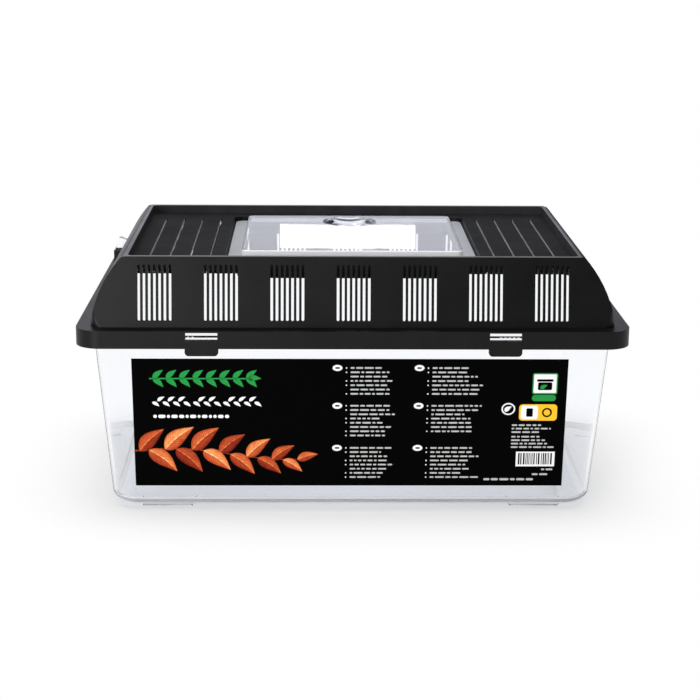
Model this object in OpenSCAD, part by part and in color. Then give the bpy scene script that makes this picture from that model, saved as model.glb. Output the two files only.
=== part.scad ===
// Plastic pet keeper: a clear tapered tank under a black vented lid with a clear hatch in its top.
// Millimetres, +Z up. The origin lies on the floor under the middle of the tank. The labelled front faces -Y.

/* [Tank] */
// Length of the tank's mouth, outside
tank_mouth_l = 285; // [240:1:340]
// Width of the tank's mouth, front to back, outside
tank_mouth_w = 180; // [160:1:220]
// Height of the tank's rim above the surface it stands on
tank_rim_z = 107; // [90:1:150]
// How far each end wall leans in from the mouth to the floor
tank_end_draft = 7.8; // [3:0.1:12]
// How far the front and back walls lean in from the mouth to the floor
tank_front_draft = 13; // [5:0.5:18]
// Thickness of the tank's walls
tank_wall = 2; // [1.5:0.1:3]
// Thickness of the tank's floor
tank_floor_t = 2.5; // [1.5:0.1:4]
// Radius of the tank's upright corners
tank_corner_r = 16; // [10:1:24]
// Radius between the walls and the floor
tank_base_r = 5; // [3:0.5:8]
// How far the rim's lip stands out at the ends
lip_end = 4; // [3:0.1:7]
// How far the rim's lip stands out at the front and back
lip_front = 6.5; // [4:0.1:9]
// Thickness of the rim's lip
lip_t = 3; // [2:0.1:4]

/* [Feet] */
// Height of the four moulded feet
foot_h = 3; // [2:0.5:6]
// Length of a foot on its resting face
foot_l = 28; // [15:1:50]
// Width of a foot
foot_w = 5; // [4:0.5:10]
// From the end of the floor's flat to a foot's outer end
foot_end_inset = 12; // [5:1:30]
// From the front of the floor's flat to a foot's front face
foot_front_inset = 1; // [0.5:0.5:10]

/* [Label] */
// Length of the front label
label_l = 238; // [150:1:240]
// Height of the front label, measured straight up
label_h = 75.5; // [40:0.5:76]
// Height of the label's lower edge above the surface
label_bottom_z = 14.9; // [12:0.1:20]
// How far the label sits off the middle
label_offset_x = -1.5; // [-5:0.5:5]
// Thickness of the label's sheet
label_t = 0.3; // [0.2:0.05:0.6]

/* [Lid] */
// Clearance between the tank's lip and the lid's skirt
skirt_gap = 1.5; // [0.6:0.1:3]
// Thickness of the lid's skirt
skirt_wall = 2; // [1.5:0.1:3]
// How far the skirt hangs below the ledge
skirt_drop = 8.5; // [7.5:0.1:14]
// Thickness of the ledge that rests on the tank's lip
ledge_t = 1.2; // [1:0.1:2]
// Radius of the lid's outer corners
skirt_corner_r = 14; // [10:1:20]
// Width of the flat ledge at the lid's ends
ledge_end = 7.8; // [4:0.1:9]
// Width of the flat ledge at the lid's front and back
ledge_front = 9; // [6:0.5:10]
// Height of the dome above the ledge
dome_h = 37.5; // [34:0.5:60]
// How far the dome's curved ends lean in, from the ledge to the top
dome_end_lean = 17.3; // [10:0.1:22]
// Radius of the curve of the dome's ends, seen from the front
dome_end_r = 70; // [60:1:120]
// Lean of the dome's front and back
dome_front_lean = 7.3; // [4:0.1:12]
// Radius of the dome's corners at the ledge
dome_corner_r = 7; // [5:1:18]
// Radius of the top panel's corners
panel_corner_r = 3; // [2:0.5:6]
// Thickness of the dome's walls
dome_wall = 2; // [1.5:0.1:2.5]
// Width of the raised border round the top
border_w = 3; // [2.5:0.1:5]
// How deep the top panel lies below its border
panel_drop = 5; // [3:0.5:7]
// Thickness of the top panel
panel_t = 2; // [1.5:0.1:3]

/* [Vents] */
// Groups of upright slots in the front, and again in the back
vent_groups = 7; // [3:1:7]
// Slots in a group
vents_in_group = 7; // [3:1:7]
// Distance between the middles of two groups
vent_group_pitch = 35.75; // [28:0.05:38]
// Distance between two slots
vent_pitch = 2.8; // [2.5:0.05:4]
// Width of a slot
vent_w = 1.45; // [1:0.05:2]
// Height of a slot
vent_h = 30; // [15:1:30]
// From the ledge up to the slots' lower ends
vent_sill = 3.2; // [3:0.1:5]
// Long slits in the top panel on each side of the hatch
slits_in_side = 4; // [1:1:4]
// Distance between two slits
slit_pitch = 11.15; // [8:0.05:12]
// Length of a slit
slit_l = 124; // [60:1:140]
// Width of a slit
slit_w = 0.9; // [0.6:0.1:1.5]
// From the hatch well's wall to the nearest slit
slit_first = 8; // [5:0.5:10]

/* [Hatch] */
// Length of the hatch's raised window
window_l = 123; // [90:1:124]
// Width of the hatch's raised window, front to back
window_w = 113; // [90:1:114]
// How far the window stands above its brim
window_h = 5.6; // [5:0.2:9]
// Radius of the window's corners
window_corner_r = 4; // [3:0.5:8]
// Thickness of the window's clear plastic
window_t = 2; // [1.5:0.1:2.5]
// Width of the brim at the window's ends
brim_end = 8; // [6:0.5:9]
// Width of the brim at the window's front and back
brim_front = 13; // [10:0.5:13]
// Thickness of the brim
brim_t = 1.5; // [1.2:0.1:2.5]
// Radius of the brim's rear corners
brim_corner_r = 5; // [3:0.5:8]
// How far the brim's face lies below the top panel
brim_sink = 2.6; // [2:0.1:4]
// Gap between the brim and the well's wall
hatch_gap = 1; // [0.6:0.1:2]
// Thickness of the well's wall
well_wall = 2.5; // [2:0.1:3]
// Width of the shelf that the brim rests on
shelf_w = 8.5; // [7:0.5:9]
// Thickness of that shelf
shelf_t = 2; // [1.5:0.1:2.5]
// Thickness of the collar round the opening in the shelf
collar_wall = 2; // [1.5:0.1:3]
// How far that collar hangs below the shelf
collar_drop = 4.5; // [2:0.1:8]
// Radius of the hinge barrel along the hatch's front edge
barrel_r = 2.2; // [2:0.1:2.4]
// Radius of the two hinge pins
hinge_pin_r = 1.1; // [0.8:0.05:1.2]
// How far a hinge pin reaches into the barrel
hinge_pin_reach = 6; // [4:0.5:10]
// Radius of the finger scoop in the window
scoop_r = 16; // [10:0.5:20]
// Depth of the finger scoop
scoop_depth = 5; // [2:0.1:5.1]
// From the window's rear edge to the scoop's nearest edge
scoop_inset = 4; // [3:0.5:12]

/* [Snap tabs] */
// Distance from the middle to each snap tab
tab_x = 81.6; // [50:0.1:110]
// Width of a snap tab
tab_w = 17.8; // [12:0.2:24]
// How far a front tab hangs below the skirt; the rear ones end level with it
tab_hang = 4; // [2:0.2:6]
// Radius of a tab's lower corners
tab_corner_r = 2; // [1:0.5:4]
// From the skirt's lower edge to the top of a tab
tab_root = 4.6; // [3:0.1:5.5]
// Slit between a tab's top and the small window above it
tab_gap = 0.3; // [0.2:0.05:0.4]
// Slit at each side of a tab
tab_side_gap = 0.15; // [0.1:0.05:0.3]
// Height of the small window above a tab
peephole_h = 3.9; // [3:0.1:4]
// How much narrower than the tab that window is, on each side
peephole_inset = 0.3; // [0:0.1:2]
// How far the catching nib stands in from a tab
nib_reach = 0.9; // [0.5:0.1:1]
// Height of the catching nib
nib_h = 2.4; // [1.5:0.1:3]

/* [Corner clips] */
// Length of a clip's black lug along the lid
lug_l = 9; // [8:0.5:9.5]
// Depth of a lug, front to back
lug_d = 11; // [9:0.5:14]
// Height of a lug above the ledge
lug_h = 7; // [5:0.1:8]
// How far a lug's upper part stands in from the end of the skirt
lug_inset = 1.5; // [0.5:0.1:2.5]
// Thickness of the clear tongue, front to back
tongue_t = 5; // [4:0.5:5.5]
// Half the width of the tongue, and the radius of its end round the pin
tongue_r = 3.4; // [2.8:0.1:3.5]
// From the pin to the tongue's flat tip
tongue_l = 10.8; // [8:0.1:14]
// Radius of the corners at the tip
tongue_tip_r = 1.2; // [0.5:0.1:2.5]
// Angle at which the left tongue leans in at rest
tongue_lean_left = 18; // [0:1:60]
// Angle at which the right tongue leans in at rest
tongue_lean_right = 34; // [0:1:60]
// Radius of the pin that the tongue turns on
clip_pin_r = 1.2; // [0.8:0.05:1.5]

/* [Fits] */
// Gap at every seat where one piece rests on another
seat_gap = 0.3; // [0.2:0.05:0.4]
// Radial clearance of a pin in the piece that turns on it
running_gap = 0.06; // [0.03:0.01:0.1]
// Radial clearance of a pin in the piece that holds it
holding_gap = 0.02; // [0.01:0.01:0.05]
// Gap between the label and the tank's wall
label_gap = 0.05; // [0.03:0.01:0.1]

/* [Hidden] */

// Round edges that nothing fits into, and bores and pins
shell_fn = 32;
round_fn = 64;
// Thickness of the thin plates that a lofted shell is spanned over
sheet = 0.01;
// How far a cut runs past the face that it opens
past = 1;

// Tank
floor_z = foot_h + tank_floor_t;
lip_l = tank_mouth_l + 2 * lip_end;
lip_w = tank_mouth_w + 2 * lip_front;
lip_corner_r = skirt_corner_r - skirt_wall - skirt_gap;
foot_slope = foot_h * 1.2;
function tank_lean(z) = (tank_rim_z - z) / (tank_rim_z - foot_h);
function tank_half_l(z) = tank_mouth_l / 2 - tank_end_draft * tank_lean(z);
function tank_half_w(z) = tank_mouth_w / 2 - tank_front_draft * tank_lean(z);

// Lid
ledge_z = tank_rim_z + seat_gap;
ledge_top_z = ledge_z + ledge_t;
skirt_bottom_z = ledge_z - skirt_drop;
skirt_in_l = lip_l + 2 * skirt_gap;
skirt_in_w = lip_w + 2 * skirt_gap;
skirt_l = skirt_in_l + 2 * skirt_wall;
skirt_w = skirt_in_w + 2 * skirt_wall;
dome_base_l = skirt_l - 2 * ledge_end;
dome_base_w = skirt_w - 2 * ledge_front;
dome_top_l = dome_base_l - 2 * dome_end_lean;
dome_top_w = dome_base_w - 2 * dome_front_lean;
top_z = ledge_top_z + dome_h;
panel_z = top_z - panel_drop;
// The middle of the circle that a curved end follows
dome_chord = sqrt(dome_end_lean * dome_end_lean + dome_h * dome_h);
dome_reach = sqrt(dome_end_r * dome_end_r - dome_chord * dome_chord / 4);
dome_end_x = (dome_base_l + dome_top_l) / 4 - dome_reach * dome_h / dome_chord;
dome_end_z = (ledge_top_z + top_z) / 2 - dome_reach * dome_end_lean / dome_chord;

// Hatch
brim_l = window_l + 2 * brim_end;
brim_w = window_w + 2 * brim_front;
brim_z = panel_z - brim_sink;
brim_under_z = brim_z - brim_t;
window_z = brim_z + window_h;
well_l = brim_l + 2 * hatch_gap;
well_w = brim_w + 2 * hatch_gap;
well_corner_r = brim_corner_r + hatch_gap;
shelf_z = brim_under_z - seat_gap;
hinge_y = -brim_w / 2 + barrel_r;
hinge_z = brim_under_z + barrel_r;
barrel_bore_r = hinge_pin_r + running_gap;
scoop_y = window_w / 2 - scoop_inset - scoop_r;
scoop_ball_r = (scoop_r * scoop_r + scoop_depth * scoop_depth) / (2 * scoop_depth);

// Snap tabs
tab_top_z = skirt_bottom_z + tab_root;
peephole_z = tab_top_z + tab_gap;

// Corner clips
lug_x = skirt_l / 2 - lug_l;
lug_y = skirt_w / 2 - lug_d;
lug_top_z = ledge_top_z + lug_h;
clip_x = skirt_l / 2 - lug_l / 2;
clip_y = skirt_w / 2 - lug_d / 2;
clip_z = ledge_top_z + seat_gap + tongue_r;

// A flat plate with round corners, centred, standing on its own base
module round_plate(l, w, r, t) {
    linear_extrude(height = t) {
        square([l - 2 * r, w], center = true);
        square([l, w - 2 * r], center = true);
        for (x = [-1, 1])
            for (y = [-1, 1])
                translate([x * (l / 2 - r), y * (w / 2 - r)])
                    circle(r = r, $fn = shell_fn);
    }
}

// One level of the tank's loft, drawn in by an inset
module tank_level(z, inset) {
    translate([0, 0, z])
        round_plate(2 * (tank_half_l(z) - inset), 2 * (tank_half_w(z) - inset), tank_corner_r - inset, sheet);
}

// The tank's outer body: straight leaning walls over a rounded lower edge
module tank_outside() {
    hull() {
        for (a = [0:30:90])
            tank_level(foot_h + tank_base_r * (1 - cos(a)), tank_base_r * (1 - sin(a)));
        tank_level(tank_rim_z - sheet, 0);
    }
}

// The space inside the tank
module tank_inside() {
    inner_r = tank_base_r - tank_wall;
    hull() {
        for (a = [0:30:90])
            tank_level(floor_z + inner_r * (1 - cos(a)), tank_wall + inner_r * (1 - sin(a)));
        tank_level(tank_rim_z + past, tank_wall);
    }
}

// One moulded foot, sloped at its inner end, in the corner where x and y are positive
module foot() {
    flat_l = tank_half_l(foot_h) - tank_base_r;
    flat_w = tank_half_w(foot_h) - tank_base_r;
    translate([flat_l - foot_end_inset, flat_w - foot_front_inset, 0])
        rotate([90, 0, 0])
            linear_extrude(height = foot_w)
                polygon([[0, 0], [-foot_l, 0], [-foot_l - foot_slope, foot_h + past], [0, foot_h + past]]);
}

module tank() {
    color([0.86, 0.91, 0.95, 0.35])
        difference() {
            union() {
                tank_outside();
                translate([0, 0, tank_rim_z - lip_t])
                    round_plate(lip_l, lip_w, lip_corner_r, lip_t);
                for (x = [0, 1])
                    for (y = [0, 1])
                        mirror([x, 0, 0])
                            mirror([0, y, 0])
                                foot();
            }
            tank_inside();
        }
}

// The printed sheet on the front wall, leaning with it
module front_label() {
    label_top_z = label_bottom_z + label_h;
    low_y = -tank_half_w(label_bottom_z) - label_gap;
    high_y = -tank_half_w(label_top_z) - label_gap;
    color([0.08, 0.08, 0.08])
        translate([label_offset_x - label_l / 2, 0, 0])
            rotate([90, 0, 90])
                linear_extrude(height = label_l)
                    polygon([
                        [low_y, label_bottom_z],
                        [high_y, label_top_z],
                        [high_y - label_t, label_top_z],
                        [low_y - label_t, label_bottom_z]
                    ]);
}

// A dome with leaning front and back and curved ends, drawn in by an inset and cut off between two heights
module dome(inset, low_z, high_z) {
    half_w = dome_base_w / 2 - inset;
    lean = dome_front_lean / dome_h;
    intersection() {
        translate([0, 0, low_z])
            round_plate(dome_base_l - 2 * inset, 2 * half_w, dome_corner_r - inset, high_z - low_z);
        rotate([90, 0, 90])
            translate([0, 0, -skirt_l / 2])
                linear_extrude(height = skirt_l)
                    polygon([
                        [-half_w, low_z],
                        [half_w, low_z],
                        [half_w, ledge_top_z],
                        [half_w - lean * (high_z - ledge_top_z), high_z],
                        [-half_w + lean * (high_z - ledge_top_z), high_z],
                        [-half_w, ledge_top_z]
                    ]);
        union() {
            translate([-dome_end_x, -skirt_w / 2, low_z])
                cube([2 * dome_end_x, skirt_w, high_z - low_z]);
            for (x = [-1, 1])
                translate([x * dome_end_x, skirt_w / 2, dome_end_z])
                    rotate([90, 0, 0])
                        cylinder(r = dome_end_r - inset, h = skirt_w, $fn = 180);
        }
    }
}

// An upright slot with round ends, cut from the front towards the back
module vent(length) {
    rotate([90, 0, 0])
        linear_extrude(height = length) {
            translate([-vent_w / 2, vent_w / 2])
                square([vent_w, vent_h - vent_w]);
            for (z = [vent_w / 2, vent_h - vent_w / 2])
                translate([0, z])
                    circle(d = vent_w, $fn = 16);
        }
}

// The upright slots of the front, as cutters that stop short of the raised border's inner face
module front_vents() {
    stop_y = -(dome_top_w / 2 - border_w / 2);
    for (g = [0:vent_groups - 1])
        for (s = [0:vents_in_group - 1])
            translate([
                (g - (vent_groups - 1) / 2) * vent_group_pitch + (s - (vents_in_group - 1) / 2) * vent_pitch,
                stop_y,
                ledge_top_z + vent_sill
            ])
                vent(skirt_w / 2 + stop_y);
}

// The long slits of the top panel on the side where x is positive
module panel_slits() {
    for (i = [0:slits_in_side - 1])
        translate([well_l / 2 + slit_first + i * slit_pitch, 0, panel_z - panel_t - past])
            linear_extrude(height = panel_t + 2 * past) {
                square([slit_w, slit_l - slit_w], center = true);
                for (y = [-1, 1])
                    translate([0, y * (slit_l - slit_w) / 2])
                        circle(d = slit_w, $fn = 16);
            }
}

// The well's plan, grown by a margin: round rear corners, and square front corners that clear the hinge barrel
module well_plan(grow, t) {
    round_plate(well_l + 2 * grow, well_w + 2 * grow, well_corner_r + grow, t);
    translate([-well_l / 2 - grow, -well_w / 2 - grow, 0])
        cube([well_l + 2 * grow, well_corner_r + 2 * grow, t]);
}

// The well that the hatch lies in: its wall below the top panel, the shelf the brim rests on, and the
// collar that hangs from the shelf round the opening
module hatch_well() {
    shelf_under_z = shelf_z - shelf_t;
    collar_h = collar_drop + shelf_t;
    opening_l = well_l - 2 * shelf_w;
    opening_w = well_w - 2 * shelf_w;
    difference() {
        union() {
            translate([0, 0, shelf_under_z])
                well_plan(well_wall, panel_z - shelf_under_z);
            translate([0, 0, shelf_z - collar_h])
                round_plate(opening_l + 2 * collar_wall, opening_w + 2 * collar_wall,
                    well_corner_r + collar_wall, collar_h);
        }
        translate([0, 0, shelf_z])
            well_plan(0, panel_z - shelf_z + past);
        translate([0, 0, shelf_z - collar_h - past])
            round_plate(opening_l, opening_w, well_corner_r, collar_h + 2 * past);
    }
}

// The square post at a rear corner that carries a clip, on the side where x is positive
module lug() {
    translate([lug_x, lug_y, skirt_bottom_z])
        cube([lug_l, lug_d, ledge_top_z - skirt_bottom_z]);
    translate([lug_x, lug_y, skirt_bottom_z])
        cube([lug_l - lug_inset, lug_d, lug_top_z - skirt_bottom_z]);
}

// The slot in the lug that the clip's tongue turns in, and the hole for its pin
module lug_slot() {
    slot_w = tongue_t + 2 * seat_gap;
    translate([lug_x - past, clip_y - slot_w / 2, ledge_top_z])
        cube([lug_l + 2 * past, slot_w, lug_h + past]);
    translate([clip_x, skirt_w / 2 + past, clip_z])
        rotate([90, 0, 0])
            cylinder(r = clip_pin_r + holding_gap, h = lug_d + 2 * past, $fn = round_fn);
}

// The cut through the skirt for one snap tab, and the small window above it
module tab_opening() {
    opening_w = tab_w + 2 * tab_side_gap;
    peephole_w = tab_w - 2 * peephole_inset;
    cut_d = skirt_wall + past + skirt_gap / 2;
    translate([-opening_w / 2, -skirt_w / 2 - past, skirt_bottom_z - past])
        cube([opening_w, cut_d, peephole_z - skirt_bottom_z + past]);
    translate([-peephole_w / 2, -skirt_w / 2 - past, peephole_z - tab_gap])
        cube([peephole_w, cut_d, peephole_h + tab_gap]);
}

module lid() {
    color([0.13, 0.13, 0.14])
        difference() {
            union() {
                difference() {
                    union() {
                        translate([0, 0, skirt_bottom_z])
                            round_plate(skirt_l, skirt_w, skirt_corner_r, ledge_top_z - skirt_bottom_z);
                        dome(0, ledge_z, top_z);
                        for (x = [0, 1])
                            mirror([x, 0, 0])
                                lug();
                    }
                    translate([0, 0, skirt_bottom_z - past])
                        round_plate(skirt_in_l, skirt_in_w, skirt_corner_r - skirt_wall, skirt_drop + past);
                    dome(dome_wall, ledge_z - past, panel_z - panel_t);
                    translate([0, 0, panel_z])
                        round_plate(dome_top_l - 2 * border_w, dome_top_w - 2 * border_w,
                            panel_corner_r, panel_drop + past);
                    translate([0, 0, panel_z - panel_t - past])
                        well_plan(well_wall / 2, panel_t + 2 * past);
                }
                hatch_well();
            }
            for (y = [0, 1])
                mirror([0, y, 0])
                    front_vents();
            for (x = [0, 1])
                mirror([x, 0, 0]) {
                    panel_slits();
                    lug_slot();
                    for (y = [0, 1])
                        mirror([0, y, 0])
                            translate([tab_x, 0, 0])
                                tab_opening();
                    translate([well_l / 2 - past, hinge_y, hinge_z])
                        rotate([0, 90, 0])
                            cylinder(r = hinge_pin_r + holding_gap, h = well_wall + 2 * past, $fn = round_fn);
                }
        }
}

// One snap tab at the front, in the corner where x is positive: a tongue with a small nib inside, which may
// hang below the skirt
module snap_tab(hang) {
    tab_h = tab_root + hang;
    color([0.13, 0.13, 0.14])
        translate([tab_x, -skirt_w / 2, skirt_bottom_z - hang]) {
            translate([0, skirt_wall, 0])
                rotate([90, 0, 0])
                    linear_extrude(height = skirt_wall) {
                        translate([-tab_w / 2, tab_corner_r])
                            square([tab_w, tab_h - tab_corner_r]);
                        translate([-tab_w / 2 + tab_corner_r, 0])
                            square([tab_w - 2 * tab_corner_r, tab_h]);
                        for (x = [-1, 1])
                            translate([x * (tab_w / 2 - tab_corner_r), tab_corner_r])
                                circle(r = tab_corner_r, $fn = shell_fn);
                    }
            translate([-tab_w / 2, 0, tab_h - nib_h])
                rotate([90, 0, 90])
                    linear_extrude(height = tab_w)
                        polygon([
                            [skirt_wall - tab_gap, 0],
                            [skirt_wall + nib_reach, nib_h],
                            [skirt_wall - tab_gap, nib_h]
                        ]);
        }
}

module snap_tab_front_left() {
    mirror([1, 0, 0])
        snap_tab(tab_hang);
}

module snap_tab_front_right() {
    snap_tab(tab_hang);
}

module snap_tab_rear_left() {
    mirror([0, 1, 0])
        mirror([1, 0, 0])
            snap_tab(0);
}

module snap_tab_rear_right() {
    mirror([0, 1, 0])
        snap_tab(0);
}

// The clear hatch: window, brim, finger scoop and hinge barrel in one moulding
module hatch_door() {
    hollow_top_z = window_z - window_t;
    front_trim = brim_w / 2 + hinge_y;
    color([0.86, 0.91, 0.95, 0.35])
        difference() {
            union() {
                difference() {
                    union() {
                        translate([0, 0, brim_under_z])
                            round_plate(window_l, window_w, window_corner_r, window_z - brim_under_z);
                        intersection() {
                            translate([0, 0, brim_under_z])
                                round_plate(brim_l, brim_w, brim_corner_r, brim_t);
                            translate([-brim_l / 2, hinge_y, brim_under_z - past])
                                cube([brim_l, brim_w - front_trim, brim_t + 2 * past]);
                        }
                    }
                    translate([0, 0, brim_under_z - past])
                        round_plate(window_l - 2 * window_t, window_w - 2 * window_t,
                            window_corner_r - window_t, hollow_top_z - brim_under_z + past);
                }
                translate([0, scoop_y, hollow_top_z - scoop_depth])
                    cylinder(r = scoop_r, h = scoop_depth + window_t / 2, $fn = round_fn);
                translate([-brim_l / 2, hinge_y, hinge_z])
                    rotate([0, 90, 0])
                        cylinder(r = barrel_r, h = brim_l, $fn = round_fn);
            }
            translate([0, scoop_y, window_z - scoop_depth + scoop_ball_r])
                sphere(r = scoop_ball_r, $fn = 96);
            for (x = [0, 1])
                mirror([x, 0, 0])
                    translate([brim_l / 2 - hinge_pin_reach - past, hinge_y, hinge_z])
                        rotate([0, 90, 0])
                            cylinder(r = barrel_bore_r, h = hinge_pin_reach + 2 * past, $fn = round_fn);
        }
}

// A hinge pin, held in the well's wall and reaching into the barrel, on the side where x is positive
module hinge_pin() {
    color([0.16, 0.16, 0.17])
        translate([brim_l / 2 - hinge_pin_reach, hinge_y, hinge_z])
            rotate([0, 90, 0])
                cylinder(r = hinge_pin_r, h = hinge_pin_reach + hatch_gap + well_wall, $fn = round_fn);
}

module hatch_hinge_pin_left() {
    mirror([1, 0, 0])
        hinge_pin();
}

module hatch_hinge_pin_right() {
    hinge_pin();
}

// The clear tongue of a corner clip, on the side where x is positive: a bar that leans in, round at the pin
module corner_clip(lean) {
    color([0.86, 0.91, 0.95, 0.35])
        difference() {
            translate([clip_x, clip_y + tongue_t / 2, clip_z])
                rotate([90, 0, 0])
                    rotate([0, 0, lean])
                        linear_extrude(height = tongue_t) {
                            circle(r = tongue_r, $fn = round_fn);
                            translate([-tongue_r, 0])
                                square([2 * tongue_r, tongue_l - tongue_tip_r]);
                            translate([-tongue_r + tongue_tip_r, 0])
                                square([2 * (tongue_r - tongue_tip_r), tongue_l]);
                            for (x = [-1, 1])
                                translate([x * (tongue_r - tongue_tip_r), tongue_l - tongue_tip_r])
                                    circle(r = tongue_tip_r, $fn = shell_fn);
                        }
            translate([clip_x, clip_y + tongue_t, clip_z])
                rotate([90, 0, 0])
                    cylinder(r = clip_pin_r + running_gap, h = 2 * tongue_t, $fn = round_fn);
        }
}

// The pin through a lug's two cheeks and the tongue between them, on the side where x is positive
module clip_pin() {
    color([0.16, 0.16, 0.17])
        translate([clip_x, skirt_w / 2, clip_z])
            rotate([90, 0, 0])
                cylinder(r = clip_pin_r, h = lug_d, $fn = round_fn);
}

module corner_clip_left() {
    mirror([1, 0, 0])
        corner_clip(tongue_lean_left);
}

module corner_clip_right() {
    corner_clip(tongue_lean_right);
}

module clip_pin_left() {
    mirror([1, 0, 0])
        clip_pin();
}

module clip_pin_right() {
    clip_pin();
}

tank();
front_label();
lid();
snap_tab_front_left();
snap_tab_front_right();
snap_tab_rear_left();
snap_tab_rear_right();
hatch_door();
hatch_hinge_pin_left();
hatch_hinge_pin_right();
corner_clip_left();
corner_clip_right();
clip_pin_left();
clip_pin_right();
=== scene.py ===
import math
import random

import bmesh
import bpy
from mathutils import Matrix, Vector


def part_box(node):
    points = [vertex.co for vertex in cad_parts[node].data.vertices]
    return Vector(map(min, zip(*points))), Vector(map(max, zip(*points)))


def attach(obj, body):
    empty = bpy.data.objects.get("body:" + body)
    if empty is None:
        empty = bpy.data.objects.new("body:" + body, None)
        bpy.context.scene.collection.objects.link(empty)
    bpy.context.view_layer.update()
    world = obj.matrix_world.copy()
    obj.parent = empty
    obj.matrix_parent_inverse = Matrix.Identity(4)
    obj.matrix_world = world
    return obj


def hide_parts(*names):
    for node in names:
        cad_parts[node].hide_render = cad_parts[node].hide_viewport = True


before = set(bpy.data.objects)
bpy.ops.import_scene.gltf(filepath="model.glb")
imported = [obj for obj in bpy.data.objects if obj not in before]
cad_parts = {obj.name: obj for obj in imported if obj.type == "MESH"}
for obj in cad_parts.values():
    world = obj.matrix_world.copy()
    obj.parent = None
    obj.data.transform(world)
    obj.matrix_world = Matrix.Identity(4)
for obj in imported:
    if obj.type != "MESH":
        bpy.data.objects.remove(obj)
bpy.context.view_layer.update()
mm = 0.001
hair = 0.001 * mm  # points nearer than this are one point
slack = 0.1 * mm  # heights nearer than this are one height

print("frame loaded:", len(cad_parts), "nodes")


def newGroup(name, inputs, outputs):
    group = bpy.data.node_groups.new(name, "ShaderNodeTree")
    for label, kind, value in inputs:
        socket = group.interface.new_socket(label, in_out="INPUT", socket_type=kind)
        if value is not None:
            socket.default_value = value
    for label, kind in outputs:
        group.interface.new_socket(label, in_out="OUTPUT", socket_type=kind)
    return group


def addNode(tree, kind, links=None, **values):
    # links: input name or number -> a socket or a plain value
    node = tree.nodes.new(kind)
    for key, value in values.items():
        setattr(node, key, value)
    for key, value in (links or {}).items():
        if isinstance(value, bpy.types.NodeSocket):
            tree.links.new(value, node.inputs[key])
        else:
            node.inputs[key].default_value = value
    return node


def sumOf(tree, operation, first, second, third=None):
    links = {0: first, 1: second} if third is None else {0: first, 1: second, 2: third}
    return addNode(tree, "ShaderNodeMath", links, operation=operation).outputs[0]


def stretch(tree, value, low, high, newLow, newHigh):
    # one range of values turned into another, held at its ends
    node = addNode(tree, "ShaderNodeMapRange", {
        "Value": value, "From Min": low, "From Max": high, "To Min": newLow, "To Max": newHigh})
    return node.outputs["Result"]


def blendColors(tree, mask, first, second):
    return addNode(tree, "ShaderNodeMix", {0: mask, 6: first, 7: second}, data_type="RGBA").outputs[2]


def makeMouldSkin():
    # the finely textured skin that a mould leaves: a height, a drift of gloss and a drift of tone
    group = newGroup("mouldSkin", [
        ("Vector", "NodeSocketVector", None),
        ("Grain Size", "NodeSocketFloat", 0.0006),
        ("Drift Size", "NodeSocketFloat", 0.03),
    ], [("Height", "NodeSocketFloat"), ("Gloss Drift", "NodeSocketFloat"), ("Tone Drift", "NodeSocketFloat")])
    given = group.nodes.new("NodeGroupInput")
    grainScale = sumOf(group, "DIVIDE", 1.0, given.outputs["Grain Size"])
    driftScale = sumOf(group, "DIVIDE", 1.0, given.outputs["Drift Size"])
    grain = addNode(group, "ShaderNodeTexNoise", {
        "Vector": given.outputs["Vector"], "Scale": grainScale, "Detail": 3.0, "Roughness": 0.6})
    drift = addNode(group, "ShaderNodeTexNoise", {
        "Vector": given.outputs["Vector"], "Scale": driftScale, "Detail": 2.0, "Roughness": 0.5})
    flow = addNode(group, "ShaderNodeTexNoise", {
        "Vector": given.outputs["Vector"], "Scale": sumOf(group, "MULTIPLY", driftScale, 2.7), "Detail": 4.0})
    out = group.nodes.new("NodeGroupOutput")
    group.links.new(grain.outputs[0], out.inputs["Height"])
    group.links.new(drift.outputs[0], out.inputs["Gloss Drift"])
    group.links.new(flow.outputs[0], out.inputs["Tone Drift"])
    return group


mouldSkin = makeMouldSkin()


def newMaterial(name):
    material = bpy.data.materials.new(name)
    material.use_nodes = True
    tree = material.node_tree
    shader = next(n for n in tree.nodes if n.type == "BSDF_PRINCIPLED")
    place = tree.nodes.new("ShaderNodeTexCoord").outputs["Object"]
    return material, tree, shader, place


def skinOn(tree, place, grainSize, driftSize):
    node = addNode(tree, "ShaderNodeGroup", node_tree=mouldSkin)
    tree.links.new(place, node.inputs["Vector"])
    node.inputs["Grain Size"].default_value = grainSize
    node.inputs["Drift Size"].default_value = driftSize
    return node


def bumpOn(tree, shader, height, depth, strength):
    bump = addNode(tree, "ShaderNodeBump", {"Height": height, "Distance": depth, "Strength": strength})
    tree.links.new(bump.outputs[0], shader.inputs["Normal"])


def glossOn(tree, shader, skin, span, roughness):
    # the roughness wanders between two values with the skin's drift of gloss
    drift = stretch(tree, skin.outputs["Gloss Drift"], *span, *roughness)
    tree.links.new(drift, shader.inputs["Roughness"])


blackPlastic = {
    "color": (0.0012, 0.0012, 0.0014, 1),
    "worn": (0.0026, 0.0026, 0.0030, 1),
    "wornSpan": (0.35, 0.7),
    "roughness": (0.40, 0.47),
    "glossSpan": (0.3, 0.7),
    "specular": 0.20,
    "grainSize": 0.0007,
    "grainDepth": 0.00006,
    "grainStrength": 0.35,
    "driftSize": 0.035,
}
mattePlastic = blackPlastic | {  # the flat of the lid's top
    "color": (0.0095, 0.0095, 0.0105, 1),
    "worn": (0.0155, 0.0155, 0.0170, 1),
    "roughness": (0.78, 0.88),
    "specular": 0.10,
}
wallPaintedLightPlastic = mattePlastic | {  # the walls round that flat, coloured lighter than the black plastic as painted light for the shaded recess
    "color": (0.024, 0.024, 0.0255, 1),
    "worn": (0.032, 0.032, 0.034, 1),
}
rimPlastic = blackPlastic | {  # the polished top of the border
    "roughness": (0.26, 0.34),
    "specular": 0.26,
}
slitPaintedHighlightPlastic = blackPlastic | {  # the walls inside the slits: a pale grey, painted highlight in place of the light they catch
    "color": (0.42, 0.42, 0.43, 1),
    "worn": (0.50, 0.50, 0.51, 1),
}


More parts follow.
